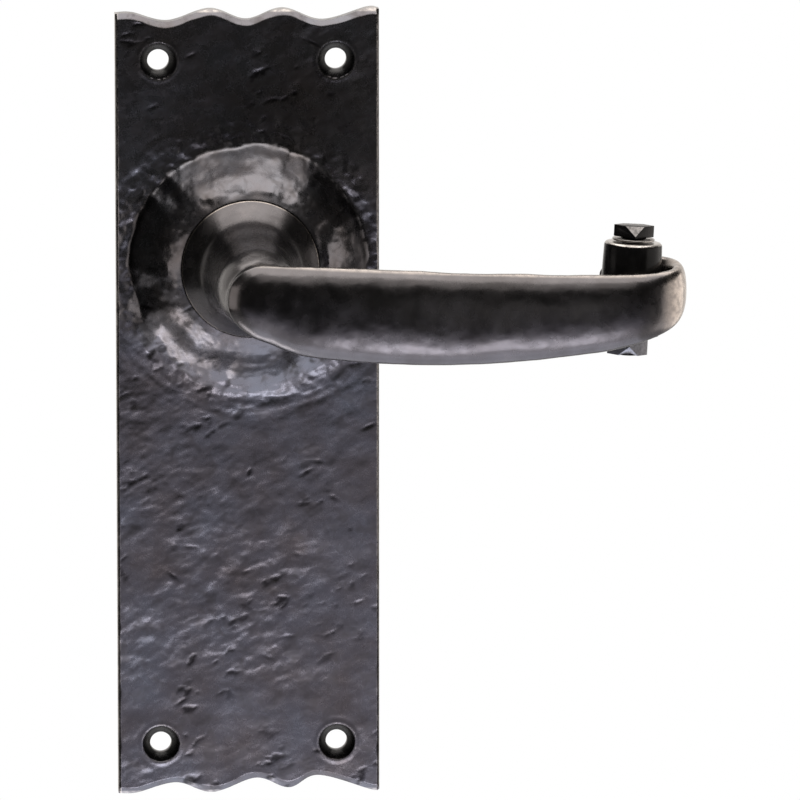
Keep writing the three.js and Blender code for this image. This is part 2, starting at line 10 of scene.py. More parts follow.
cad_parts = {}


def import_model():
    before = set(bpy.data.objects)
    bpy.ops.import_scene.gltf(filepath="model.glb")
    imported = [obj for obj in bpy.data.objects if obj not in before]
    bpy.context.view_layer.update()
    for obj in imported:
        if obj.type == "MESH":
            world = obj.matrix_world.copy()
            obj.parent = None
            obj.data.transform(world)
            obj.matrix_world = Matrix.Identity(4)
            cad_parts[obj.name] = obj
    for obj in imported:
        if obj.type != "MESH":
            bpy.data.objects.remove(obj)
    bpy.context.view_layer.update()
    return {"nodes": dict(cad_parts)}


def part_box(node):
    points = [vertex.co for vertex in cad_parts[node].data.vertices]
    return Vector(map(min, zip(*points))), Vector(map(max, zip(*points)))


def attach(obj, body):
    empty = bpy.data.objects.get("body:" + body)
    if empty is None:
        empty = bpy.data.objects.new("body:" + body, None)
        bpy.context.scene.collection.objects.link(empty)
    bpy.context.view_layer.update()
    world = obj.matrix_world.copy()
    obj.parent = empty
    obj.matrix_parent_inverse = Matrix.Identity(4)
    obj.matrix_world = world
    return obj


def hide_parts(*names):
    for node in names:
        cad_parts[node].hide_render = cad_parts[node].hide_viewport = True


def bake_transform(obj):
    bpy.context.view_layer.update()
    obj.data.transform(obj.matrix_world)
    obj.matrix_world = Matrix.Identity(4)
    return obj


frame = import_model()

MM = 0.001

# ---- Dimensions shared with the CAD part, in millimetres -----------------------------------------

PLATE_WIDTH = 50.8
PLATE_HEIGHT = 153.2
PLATE_THICKNESS = 4
SCREW_HOLE_X = 17.1
SCREW_HOLE_Z = 66.8
SCREW_HOLE_RADIUS = 2.1
COUNTERSINK_RADIUS = 3.45
COUNTERSINK_DEPTH = 1.6
AXIS_Z = 27.8
BOSS_FOOT_RADIUS = 22.6
RECESS_FLOOR_Y = -11.4
POCKET_RADIUS = 14.6
POCKET_FLOOR_Y = -8.5
BUSH_BORE = 9.9
COVER_RADIUS = 20
COVER_SEAT_Y = -1.8
COVER_SCREW_RADIUS = 17.4
COVER_SCREW_ANGLES = [math.radians(a) for a in (90, 210, 330)]
COVER_SCREW_HOLE = (1.35, -6.8)  # radius and bottom of each hole
COLLAR_RADIUS = 13.2
COLLAR_BACK_Y = -12.6
WAVE_SEAT_RADIUS = 11.4
WAVE_SEAT_Y = -14
JOURNAL_RADIUS = 7.5
JOURNAL_END_Y = -0.8
JOURNAL_FLAT = 6.4
FLAT_FRONT_Y = -3.7
CLIP_GROOVE = (6.9, -2.35, -1.25)  # radius, front and back
SOCKET_SIDE = 8.4
SOCKET_FRONT_Y = -26.3
GRUB_HOLE_RADIUS = 2.6
GRUB_SCREW_Y = -21

# Travel of the lever, the driver's arm at rest, and the two pins that the arm stops against.
GAP = 0.3
TRAVEL = math.radians(40)
ARM_ANGLE = math.radians(110)
ARM_HALF_WIDTH = 2
STOP_RADIUS = 12.9
STOP_PIN_RADIUS = 1.2
STOP_HOLE = (1.5, -10.7)  # radius and bottom of each hole
STOP_OFFSET = (ARM_HALF_WIDTH + STOP_PIN_RADIUS + GAP) / STOP_RADIUS
STOP_ANGLES = (ARM_ANGLE + STOP_OFFSET, ARM_ANGLE - TRAVEL - STOP_OFFSET)

SPRING_RADIUS = 10.2
WIRE_RADIUS = 0.55
SPRING_FRONT_Y = -6.75
SPRING_BACK_Y = -4.36
SPRING_LEG_RADIUS = 13.4

TOP_SCALLOPS = [
    (0, 0.7), (3.4, 0.7), (10.1, 2.3), (18.3, 0), (25.3, 2.1), (32.3, 0), (39.9, 2.3), (48.4, 0), (50.8, 0.1),
]
BOTTOM_SCALLOPS = [
    (0, 0), (3.6, 0.1), (11.2, 2), (18.3, 0), (26.8, 2.7), (33.2, 0.7), (38.9, 3.1), (49.2, 0.1), (50.8, 0.2),
]
# Front of the boss: (radius, height over the door), from outside its foot to the rim round the collar.
BOSS_FLANK = [
    (30, 4), (25.5, 4), (23.2, 4), (22.5, 4.35), (21.6, 5.6), (20.3, 7.4), (18.9, 9.35), (17.6, 11.1),
    (16.3, 12.4), (15, 13.3), (13.5, 14), (12, 14.45),
]
# The same below the boss, where it runs out into the plate.
BOSS_FLANK_BELOW = [
    (30.5, 4), (28, 4.06), (26, 4.3), (24.2, 4.85), (22.5, 5.85), (20.8, 7.4), (19.3, 9), (17.9, 10.65),
    (16.4, 12.2), (15, 13.25), (13.5, 14), (12, 14.45),
]

# Middle line of the strap seen from above, its lower and upper edge and its thickness:
# (x, y, low, high, thick).
STRAP = [
    (-6.3, -49.2, 20.3, 33.9, 6.4), (1, -50, 18.9, 34, 6.8), (8, -51, 16.5, 33.7, 6.8),
    (18, -52, 15.3, 33.3, 6.8), (35, -52.7, 14.8, 32.6, 6.6), (51, -52.8, 15.3, 32.1, 6.4),
    (63, -52.7, 16.7, 31.8, 6), (71.5, -52.4, 18.5, 31.8, 5.2), (77.4, -50, 20.9, 32.1, 4.2),
    (79.3, -45, 23.4, 32.7, 3.3), (77.7, -39.3, 25.4, 33.1, 3), (73.4, -36.3, 26.6, 33, 2.9),
    (68.8, -36.3, 27.2, 32.2, 2.8), (65, -38.5, 27.5, 31.2, 2.6),
]
START_ROUNDING = 7
TIP_ROUNDING = 2.4
SQUARENESS = 2.35

NECK_FLARE = [
    (6.4, -47.8), (7.6, -43), (8, -36), (8.2, -28), (8.7, -23.2), (9.7, -19.7), (11.3, -17), (13.2, -14.4),
]

PIN_PLACE = (70.5, -43.6, 27.8)
PIN_LEAN = math.radians(3)
SLEEVE_RADIUS = 5.5
SLEEVE_HALF_LENGTH = 8.85
SLEEVE_FLARE = 0.4  # how much wider the barrel is at its lower end
BORE_RADIUS = 2.45
SHANK_RADIUS = 2.15
WASHER_RADIUS = 4
WASHER_THICKNESS = 0.4
HEAD_BASE = 9.85
HEAD_SIDE = 5.4
HEAD_HEIGHT = 2.2
NUT_HEIGHT = 2.8
HEAD_BEVEL = 0.16
CORNER_CUT = 1.9


# ---- Curves and meshes ---------------------------------------------------------------------------


def catmull_rom(points, steps_per_span):
    """Points of a smooth curve through the given ones, with the same number of steps between each two."""
    p = np.array(points, float)
    p = np.vstack([2 * p[0] - p[1], p, 2 * p[-1] - p[-2]])
    t = np.linspace(0, 1, steps_per_span, endpoint=False)[:, None]
    spans = []
    for a, b, c, d in zip(p, p[1:], p[2:], p[3:]):
        spans.append(
            0.5 * (2 * b + (c - a) * t + (2 * a - 5 * b + 4 * c - d) * t**2 + (3 * b - a - 3 * c + d) * t**3)
        )
    return np.vstack([*spans, p[-2]])


def smoothstep(low, high, value):
    t = np.clip((value - low) / (high - low), 0, 1)
    return t * t * (3 - 2 * t)


def mesh_from(name, verts, faces):
    """Mesh from vertices in millimetres."""
    mesh = bpy.data.meshes.new(name)
    mesh.from_pydata((np.asarray(verts, float) * MM).tolist(), [], faces)
    mesh.validate()
    mesh.update()
    return mesh


def ring_faces(rings, sides, closed=False):
    """Quads between rings of points that all have the same count."""
    faces = []
    for i in range(rings if closed else rings - 1):
        for j in range(sides):
            k = (j + 1) % sides
            a, b = i * sides, ((i + 1) % rings) * sides
            faces.append((a + j, a + k, b + k, b + j))
    return faces


def lathe(profile, segments=96):
    """Turned body on the Y axis from a profile of (radius, y). It is closed on itself or ends on the axis."""
    angles = np.arange(segments) * 2 * math.pi / segments
    inner = [(r, y) for r, y in profile if r > 0]
    verts = [(r * math.cos(a), y, r * math.sin(a)) for r, y in inner for a in angles]
    faces = ring_faces(len(inner), segments, closed=len(inner) == len(profile))
    if len(inner) < len(profile):
        faces.append(tuple(range(segments)))
        last = (len(inner) - 1) * segments
        faces.append(tuple(last + j for j in reversed(range(segments))))
    return np.array(verts), faces


def loft(rings):
    """Closed skin over rings of points with a flat cap on each end."""
    rings = np.asarray(rings)
    count, sides = rings.shape[:2]
    faces = ring_faces(count, sides)
    faces.append(tuple(range(sides)))
    faces.append(tuple((count - 1) * sides + j for j in reversed(range(sides))))
    return rings.reshape(-1, 3), faces


def add_object(name, mesh):
    obj = bpy.data.objects.new(name, mesh)
    bpy.context.scene.collection.objects.link(obj)
    return obj


def outward(mesh):
    """Turns the faces of a closed mesh outwards."""
    bm = bmesh.new()
    bm.from_mesh(mesh)
    bmesh.ops.recalc_face_normals(bm, faces=bm.faces)
    bm.to_mesh(mesh)
    bm.free()
    return mesh


def evaluated(obj):
    """The object's mesh with its modifiers applied; the object goes."""
    graph = bpy.context.evaluated_depsgraph_get()
    mesh = bpy.data.meshes.new_from_object(obj.evaluated_get(graph))
    bpy.data.objects.remove(obj)
    return mesh


def combined(mesh, others, operation):
    """One boolean after another: each of the other meshes is joined to the mesh or cut from it."""
    for other in others:
        base, tool = add_object("base", mesh), add_object("tool", other)
        modifier = base.modifiers.new("boolean", "BOOLEAN")
        modifier.object = tool
        modifier.operation = operation
        modifier.solver = "MANIFOLD"
        mesh = evaluated(base)
        bpy.data.objects.remove(tool)
    return mesh


def turned(profile, segments=96, at=(0, 0, 0)):
    verts, faces = lathe(profile, segments)
    return outward(mesh_from("turned", verts + np.array(at), faces))


def positions(mesh):
    """Places of a mesh's vertices in millimetres."""
    return np.array([v.co for v in mesh.vertices]) / MM


def moved(mesh, x, y, z):
    mesh.transform(Matrix.Translation((x * MM, y * MM, z * MM)))
    return mesh


def add_attribute(mesh, name, values):
    """Number at each vertex, for the material."""
    attribute = mesh.attributes.new(name, "FLOAT", "POINT")
    attribute.data.foreach_set("value", values.astype(np.float32))


def finish_piece(name, mesh, material, body, slot, *nodes, sharp=40):
    """Makes the mesh a piece of the model, smooth but for its edges, on its body if it has one."""
    mesh.name = name
    mesh.materials.clear()
    mesh.materials.append(material)
    mesh.shade_smooth()
    mesh.set_sharp_from_angle(angle=math.radians(sharp))
    obj = add_object(name, mesh)
    if body:
        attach(obj, body)
    if nodes:
        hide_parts(*nodes)
    return obj


# ---- Materials -----------------------------------------------------------------------------------


class Nodes:
    """Short hand for building a material's nodes."""

    def __init__(self, name):
        self.material = bpy.data.materials.new(name)
        self.material.use_nodes = True
        self.tree = self.material.node_tree
        self.shader = self.tree.nodes["Principled BSDF"]
        coordinates = self.tree.nodes.new("ShaderNodeTexCoord")
        mapping = self.tree.nodes.new("ShaderNodeMapping")
        mapping.inputs["Scale"].default_value = (1 / MM,) * 3
        self.tree.links.new(coordinates.outputs["Object"], mapping.inputs["Vector"])
        self.place = mapping.outputs["Vector"]

    def add(self, kind, inputs=None, **settings):
        node = self.tree.nodes.new(kind)
        for key, value in settings.items():
            setattr(node, key, value)
        for key, value in (inputs or {}).items():
            if isinstance(value, bpy.types.NodeSocket):
                self.tree.links.new(value, node.inputs[key])
            else:
                node.inputs[key].default_value = value
        return node

    def noise(self, size, detail=4, roughness=0.55, distortion=0.0, stretch=(1, 1, 1)):
        """Noise whose features are about size millimetres across."""
        place = self.place
        if stretch != (1, 1, 1):
            place = self.add("ShaderNodeMapping", {"Vector": place, "Scale": stretch}).outputs["Vector"]
        inputs = {"Vector": place, "Scale": 1 / size, "Detail": detail}
        inputs |= {"Roughness": roughness, "Distortion": distortion}
        return self.add("ShaderNodeTexNoise", inputs).outputs["Fac"]

    def ramp(self, value, *stops):
        """Colours or grey levels at positions from 0 to 1."""
        node = self.add("ShaderNodeValToRGB", {"Fac": value})
        elements = node.color_ramp.elements
        while len(elements) < len(stops):
            elements.new(0.5)
        for element, (position, colour) in zip(elements, stops):
            element.position = position
            grey = isinstance(colour, (int, float))
            element.color = (colour, colour, colour, 1) if grey else (*colour, 1)
        return node.outputs["Color"]

    def mix(self, factor, a, b):
        node = self.add("ShaderNodeMix", data_type="RGBA")
        for socket, value in ((node.inputs[0], factor), (node.inputs[6], a), (node.inputs[7], b)):
            if isinstance(value, bpy.types.NodeSocket):
                self.tree.links.new(value, socket)
            elif socket.type == "RGBA":
                socket.default_value = (*value, 1)
            else:
                socket.default_value = value
        return node.outputs[2]

    def math(self, operation, a, b):
        return self.add("ShaderNodeMath", {0: a, 1: b}, operation=operation).outputs[0]

    def bump(self, height, distance, normal=None):
        """Bump whose height of 1 is distance millimetres."""
        inputs = {"Height": height, "Distance": distance * MM, "Strength": 1.0}
        if normal is not None:
            inputs["Normal"] = normal
        return self.add("ShaderNodeBump", inputs).outputs["Normal"]

    def attribute(self, name):
        return self.add("ShaderNodeAttribute", attribute_name=name).outputs["Fac"]

    def finish(self, color, roughness, normal, **constants):
        for key, socket in (("Base Color", color), ("Roughness", roughness), ("Normal", normal)):
            self.tree.links.new(socket, self.shader.inputs[key])
        for key, value in constants.items():
            self.shader.inputs[key.replace("_", " ")].default_value = value
        return self.material


def hammered_iron():
    """Waxed cast iron of the plate: blotched, dark in its pits, bare on its worn edges, with painted shade in
    its holes and at the boss's foot.
    """
    n = Nodes("hammered_iron")
    patina = n.noise(14, detail=5, roughness=0.6)
    blotches = n.noise(3.2, detail=4, roughness=0.6, distortion=0.5)
    fine = n.noise(0.9, detail=4, roughness=0.65)
    brown, grey, blue = (0.086, 0.075, 0.073), (0.1, 0.096, 0.103), (0.113, 0.118, 0.133)
    color = n.ramp(patina, (0.3, brown), (0.52, grey), (0.75, blue))
    color = n.mix(n.ramp(blotches, (0.34, 0.5), (0.5, 0.0)), color, (0.05, 0.045, 0.044))
    # the pits mark darkens the casting's pits and also paints shade at the boss's foot
    color = n.mix(n.attribute("pits"), color, (0.01, 0.009, 0.009))
    # painted shade: darkens the screw holes and the gap round the collar almost to black
    color = n.mix(n.attribute("painted_hole_shade"), color, (0.004, 0.004, 0.004))
    wear = n.ramp(n.attribute("wear"), (0.35, 0.0), (0.9, 1.0))
    worn = n.math("MULTIPLY", wear, n.ramp(fine, (0.4, 0.3), (0.62, 1.0)))
    color = n.mix(worn, color, (0.3, 0.28, 0.265))
    roughness = n.ramp(blotches, (0.3, 0.32), (0.7, 0.22))
    roughness = n.math("ADD", roughness, n.ramp(fine, (0.55, 0.0), (0.8, 0.1)))
    normal = n.bump(n.noise(2.2, detail=3, distortion=0.4), 0.03)
    normal = n.bump(fine, 0.012, normal=normal)
    return n.finish(color, roughness, normal, Metallic=1.0)


def smooth_iron():
    """Waxed iron of the lever, bare where hands and edges wear it, and lighter as painted highlight along the
    strap's upper edge and on the curl's end.
    """
    n = Nodes("smooth_iron")
    patina = n.noise(9, detail=5, roughness=0.6)
    dark, middle, light = (0.065, 0.06, 0.06), (0.085, 0.08, 0.082), (0.115, 0.105, 0.105)
    color = n.ramp(patina, (0.3, dark), (0.55, middle), (0.8, light))
    wear = n.ramp(n.attribute("wear"), (0.1, 0.0), (1.0, 1.0))
    worn = n.math("MULTIPLY", wear, n.ramp(n.noise(1.2), (0.35, 0.5), (0.6, 1.0)))
    # the wear mark is partly painted highlight: it lightens the strap's upper edge and the curl's end
    color = n.mix(worn, color, (0.42, 0.37, 0.33))
    roughness = n.ramp(n.noise(3, detail=5), (0.3, 0.21), (0.7, 0.31))
    normal = n.bump(n.noise(3.5, detail=3), 0.04)
    normal = n.bump(n.noise(0.5, detail=4), 0.005, normal=normal)
    return n.finish(color, roughness, normal, Metallic=1.0)


def pin_iron(name, bare):
    """Black iron, of the bare colour where it is rubbed."""
    n = Nodes(name)
    fine = n.noise(0.7, detail=4, roughness=0.6)
    color = n.ramp(n.noise(3, detail=5), (0.3, (0.0025, 0.0025, 0.0025)), (0.7, (0.007, 0.0065, 0.0065)))
    rubbed = n.math("MULTIPLY", n.attribute("rubbed"), n.ramp(fine, (0.36, 0.6), (0.6, 1.0)))
    color = n.mix(rubbed, color, bare)
    n.tree.links.new(rubbed, n.shader.inputs["Metallic"])
    roughness = n.ramp(n.noise(1.5), (0.3, 0.14), (0.7, 0.28))
    normal = n.bump(n.noise(1.1, detail=4), 0.012)
    return n.finish(color, roughness, normal, Specular_IOR_Level=0.08)


def plated_steel(name, dark, light, low, high, grain=(1, 1, 1)):
    """Steel with fine marks, stretched along the grain, and stains. Its roughness goes from low to high."""
    n = Nodes(name)
    stains = n.noise(5, detail=5, roughness=0.6)
    marks = n.noise(0.35, detail=3, stretch=grain)
    color = n.ramp(stains, (0.32, dark), (0.68, light))
    color = n.mix(n.ramp(marks, (0.35, 0.35), (0.55, 0.0)), color, tuple(0.45 * c for c in dark))
    roughness = n.math("ADD", n.ramp(stains, (0.3, low), (0.7, high)), n.ramp(marks, (0.5, 0.0), (0.8, 0.12)))
    normal = n.bump(n.noise(1.6, detail=3), 0.012)
    normal = n.bump(marks, 0.006, normal=normal)
    return n.finish(color, roughness, normal, Metallic=1.0)


def bronze():
    """Sintered bronze with dark pores."""
    n = Nodes("bronze")
    pores = n.noise(0.4, detail=3)
    color = n.ramp(n.noise(4, detail=4), (0.3, (0.36, 0.21, 0.09)), (0.7, (0.52, 0.33, 0.15)))
    color = n.mix(n.ramp(pores, (0.3, 1.0), (0.42, 0.0)), color, (0.12, 0.07, 0.03))
    return n.finish(color, n.ramp(pores, (0.3, 0.6), (0.6, 0.36)), n.bump(pores, 0.02), Metallic=1.0)


def nylon():
    n = Nodes("nylon")
    cloud = n.noise(3, detail=4)
    color = n.ramp(cloud, (0.3, (0.66, 0.62, 0.53)), (0.7, (0.78, 0.75, 0.67)))
    roughness = n.ramp(cloud, (0.3, 0.42), (0.7, 0.55))
    return n.finish(color, roughness, n.bump(n.noise(0.6), 0.01), Subsurface_Weight=0.1)


# ---- Backplate -----------------------------------------------------------------------------------

GRID = 0.32  # spacing of the plate's front
SCALLOP_START = 66  # from the plate's middle to where the grid begins to bend to the scallops
BEVEL_SIDE = 0.45  # width of the bevel along the plate's long edges
BEVEL_END = 1.15  # and along its scalloped ends
BEVEL_DROP = 0.75
DENT_LIMIT = 0.28  # how far a dent may rise over the plain surface
# Lines round the plate's edge, down to its back: (height over the door, inset).
EDGE_LINES = [(2.4, 0), (1.6, 0), (0.8, 0), (0.3, 0), (0.08, 0.08), (0, 0.3)]
ROUGHNESS = 0.9  # how fast the noise of the casting loses strength towards its finer features
PITS = 30
GRAIN_TILT = math.radians(28)  # way of the hammer marks and pits, up to the right
BORE_CLEARANCE = 0.16  # round the collar


def edge_lines(length, bevel):
    """Grid lines from 0 to length, close together over the bevels at both ends."""
    near = np.array([0, 0.12, 0.3, 0.5, 0.7, 0.88, 1.0, 1.15]) * bevel
    count = round((length - 2 * near[-1]) / GRID)
    middle = np.linspace(near[-1], length - near[-1], count)
    return np.concatenate([near[:-1], middle, length - near[:-1][::-1]])


def dips(scallops, across):
    """How far a scalloped end falls back from its crests at places across the plate."""
    curve = catmull_rom(scallops, 16)
    return np.interp(across, curve[:, 0], curve[:, 1])


def fractal(x, z, size, octaves, seed):
    """Noise at places on the front, with features of about size millimetres."""
    points = zip(x / size, z / size)
    return np.array([noise.fractal(Vector((a, b, seed)), ROUGHNESS, 2.0, octaves) for a, b in points])


def along_grain(x, z, turn=GRAIN_TILT):
    """Places along and across the hammer marks."""
    return x * math.cos(turn) + z * math.sin(turn), -x * math.sin(turn) + z * math.cos(turn)


def swirl(x, z, radius, along, across, octaves, seed):
    """Noise drawn out round the spindle axis."""
    turn = np.arctan2(x, z - AXIS_Z)
    reach = 22 / along
    points = zip(reach * np.cos(turn), reach * np.sin(turn), radius / across + seed)
    return np.array([noise.fractal(Vector(p), ROUGHNESS, 2.0, octaves) for p in points])


def pit_field(x, z):
    """Dark pits of the casting, from 0 to 1: irregular ones in patches and a few long ones."""
    along, across = along_grain(x, z)
    patches = smoothstep(-0.15, 0.5, fractal(x, z, 17, 2, 41.0))
    pits = 0.8 * smoothstep(0.25, 0.7, fractal(along / 1.7, across, 2.1, 3, 31.0)) * patches
    random = np.random.RandomState(20)
    for _ in range(PITS):
        cx, cz = random.uniform(-24, 24), random.uniform(-74, 74)
        length, width = random.uniform(0.5, 1.7), random.uniform(0.28, 0.42)
        u, v = along_grain(x - cx, z - cz, GRAIN_TILT + random.normal(-0.2, 0.4))
        depth = random.uniform(0.4, 1)
        pits = np.maximum(pits, depth * np.exp(-((u / length) ** 2 + (v / width) ** 2) ** 1.4))
    return pits


def dent_field(x, z, radius):
    """Height of the cast and hammered surface, mostly from -0.5 to 0.2 mm."""
    along, across = along_grain(x, z)
    rough = smoothstep(-0.35, 0.45, fractal(x, z, 26, 2, 5.5) + 0.6 * np.exp(-(((radius - 24) / 5) ** 2)))
    near_boss = 1 - smoothstep(25, 37, radius)
    height = 0.16 * fractal(x, z, 15, 3, 3.1)
    height += (1 - near_boss) * (0.03 + 0.085 * rough) * fractal(along / 1.7, across, 2.6, 3, 11.7)
    height += near_boss * 0.13 * swirl(x, z, radius, 7, 2.3, 3, 13.2)
    height += (0.006 + 0.02 * rough) * fractal(along / 1.4, across, 1.1, 3, 7.9)
    height += 0.12 * np.exp(-(((radius - 25.5) / 3) ** 2)) * fractal(x, z, 1.9, 3, 61.0)
    on_boss = smoothstep(13.7, 15.2, radius) * (1 - smoothstep(23, 26, radius))
    height += on_boss * (0.4 * swirl(x, z, radius, 8, 5, 2, 17.2) + 0.16 * fractal(x, z, 2.2, 3, 4.4))
    return height - 0.13 * pit_field(x, z)


def plate_front(x, z, inset_side, inset_end):
    """Height of the front over the door at x and z, that lie inset from the plate's edges."""
    radius = np.hypot(x, z - AXIS_Z)
    wobble = 0.9 * smoothstep(15.5, 20, radius) * swirl(x, z, radius, 11, 60, 3, 51.0)
    profiles = [catmull_rom(profile[::-1], 12) for profile in (BOSS_FLANK, BOSS_FLANK_BELOW)]
    above, below = (np.interp(radius + wobble, flank[:, 0], flank[:, 1]) for flank in profiles)
    height = above + (below - above) * smoothstep(3, 15, AXIS_Z - z)
    dents = dent_field(x, z, radius)
    for hole_x in (-SCREW_HOLE_X, SCREW_HOLE_X):
        for hole_z in (-SCREW_HOLE_Z, SCREW_HOLE_Z):
            from_hole = np.hypot(x - hole_x, z - hole_z)
            dents *= smoothstep(COUNTERSINK_RADIUS - 0.5, COUNTERSINK_RADIUS + 2.2, from_hole)
            height += 0.12 * np.exp(-(((from_hole - COUNTERSINK_RADIUS - 0.35) / 0.45) ** 2))
    height += np.minimum(dents, DENT_LIMIT)
    wobble = 1 + 0.25 * fractal(x, z, 5, 2, 23.0)
    side = 1 - np.clip(inset_side / (BEVEL_SIDE * wobble), 0, 1)
    end = 1 - np.clip(inset_end / (BEVEL_END * wobble), 0, 1)
    return height - BEVEL_DROP * np.clip(side**1.3 + end**1.15, 0, 1)


def blind_hole(radius, bottom, out, angle):
    """Cutter of a hole from the back, out from the spindle axis at an angle from +X towards +Z."""
    place = (out * math.cos(angle), 0, AXIS_Z + out * math.sin(angle))
    return turned([(0, bottom - 0.4), (radius, bottom), (radius, 1), (0, 1)], 32, place)


def plate_sheet():
    """The plate with its worked front, its boss and its flat back, still without holes."""
    columns = edge_lines(PLATE_WIDTH, BEVEL_SIDE)
    rows = edge_lines(PLATE_HEIGHT, BEVEL_END)
    across, up = np.meshgrid(columns, rows, indexing="ij")
    x = (across - PLATE_WIDTH / 2).ravel()
    flat_z = (up - PLATE_HEIGHT / 2).ravel()
    top = smoothstep(SCALLOP_START, PLATE_HEIGHT / 2, flat_z) * dips(TOP_SCALLOPS, across.ravel())
    bottom = smoothstep(SCALLOP_START, PLATE_HEIGHT / 2, -flat_z) * dips(BOTTOM_SCALLOPS, across.ravel())
    low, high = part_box("backplate")
    z = np.clip(flat_z - top + bottom, low[2] / MM, high[2] / MM)
    height = plate_front(x, z, PLATE_WIDTH / 2 - np.abs(x), PLATE_HEIGHT / 2 - np.abs(flat_z))
    front = np.column_stack([x, -height, z])
    nx, nz = across.shape
    index = np.arange(nx * nz).reshape(nx, nz)
    faces = [
        (index[i, j], index[i + 1, j], index[i + 1, j + 1], index[i, j + 1])
        for i in range(nx - 1)
        for j in range(nz - 1)
    ]
    rim = np.concatenate([index[:-1, 0], index[-1, :-1], index[:0:-1, -1], index[0, :0:-1]])
    verts = [front]
    previous = rim
    for height_over_door, inset in EDGE_LINES:
        line = front[rim].copy()
        line[:, 1] = -height_over_door
        line[:, 0] *= 1 - inset / (PLATE_WIDTH / 2)
        line[:, 2] *= 1 - inset / (PLATE_HEIGHT / 2)
        current = np.arange(len(rim)) + sum(len(v) for v in verts)
        verts.append(line)
        faces += zip(previous, current, np.roll(current, -1), np.roll(previous, -1))
        previous = current
    faces.append(previous)
    faces = [tuple(int(i) for i in face) for face in faces]
    return outward(mesh_from("backplate", np.vstack(verts), faces))


def plate_cutters():
    """The countersunk holes, the stepped bore on the spindle axis and the blind holes in the back."""
    hole = [
        (0, -6),
        (COUNTERSINK_RADIUS + 0.55, -PLATE_THICKNESS - 1),
        (COUNTERSINK_RADIUS, -PLATE_THICKNESS + 0.05),
        (SCREW_HOLE_RADIUS, -PLATE_THICKNESS + COUNTERSINK_DEPTH),
        (SCREW_HOLE_RADIUS, 1),
        (0, 1),
    ]
    bore = [
        (0, -16),
        (COLLAR_RADIUS + BORE_CLEARANCE, -16),
        (COLLAR_RADIUS + BORE_CLEARANCE, RECESS_FLOOR_Y),
        (BUSH_BORE, RECESS_FLOOR_Y),
        (BUSH_BORE, POCKET_FLOOR_Y),
        (POCKET_RADIUS, POCKET_FLOOR_Y),
        (POCKET_RADIUS, COVER_SEAT_Y),
        (COVER_RADIUS + GAP, COVER_SEAT_Y),
        (COVER_RADIUS + GAP, 1),
        (0, 1),
    ]
    cutters = [turned(hole, 64, (i * SCREW_HOLE_X, 0, j * SCREW_HOLE_Z)) for i in (-1, 1) for j in (-1, 1)]
    cutters.append(turned(bore, 192, (0, 0, AXIS_Z)))
    cutters += [blind_hole(*STOP_HOLE, STOP_RADIUS, angle) for angle in STOP_ANGLES]
    cutters += [blind_hole(*COVER_SCREW_HOLE, COVER_SCREW_RADIUS, angle) for angle in COVER_SCREW_ANGLES]
    return cutters


def add_plate_marks(mesh):
    """Marks where the plate is worn bare or pitted, and where shade is painted: in its holes and at the
    boss's foot. Its machined back stays clean.
    """
    x, y, z = positions(mesh).T
    to_edge = np.minimum(PLATE_WIDTH / 2 - np.abs(x), PLATE_HEIGHT / 2 - np.abs(z))
    to_hole = np.hypot(np.abs(x) - SCREW_HOLE_X, np.abs(z) - SCREW_HOLE_Z)
    to_axis = np.hypot(x, z - AXIS_Z)
    lip = 0.7 * np.exp(-(((to_hole - COUNTERSINK_RADIUS - 0.3) / 0.2) ** 2)) * (y < -3)
    wear = np.maximum(1 - smoothstep(0.2, 0.9, to_edge), lip)
    # painted shade: a dark ring in the crease at the boss's foot, on its left and right only, carried in the
    # pits mark
    painted_foot_shade = np.exp(-(((to_axis - BOSS_FOOT_RADIUS) / 0.7) ** 2)) * (1 - smoothstep(3, 12, AXIS_Z - z))
    painted_foot_shade *= 1 - smoothstep(8, 18, z - AXIS_Z)
    pits = np.maximum(pit_field(x, z), 0.85 * painted_foot_shade) * (y < -2)
    # painted shade: nearly black inside the screw holes and in the gap round the collar
    painted_hole_shade = np.maximum(1 - smoothstep(3.4, 3.6, to_hole), 1 - smoothstep(13.3, 13.45, to_axis))
    for name, values in (("painted_hole_shade", painted_hole_shade), ("wear", wear), ("pits", pits)):
        add_attribute(mesh, name, values * (y < -0.05))


def backplate():
    mesh = combined(plate_sheet(), plate_cutters(), "DIFFERENCE")
    add_plate_marks(mesh)
    finish_piece("backplate_cast", mesh, hammered_iron(), "plate", "hammered_iron", "backplate", sharp=50)
    for polygon in mesh.polygons:
        polygon.use_smooth = polygon.normal.y < 0.999  # the machined back stays flat up to its rounded edge


# ---- Lever ---------------------------------------------------------------------------------------

STRAP_SIDES = 72
STRAP_STEP = 0.55
VOXEL = 0.42
JOINT_SMOOTHING = 60  # passes that melt the neck into the strap
EVEN_SMOOTHING = 3  # passes over the whole lever
HAND_MARKS = 0.26  # depth of the marks left by filing by hand
TOP_EDGE = [(row[0], row[3]) for row in STRAP[:10]]  # upper edge of the strap before the curl: (x, z)


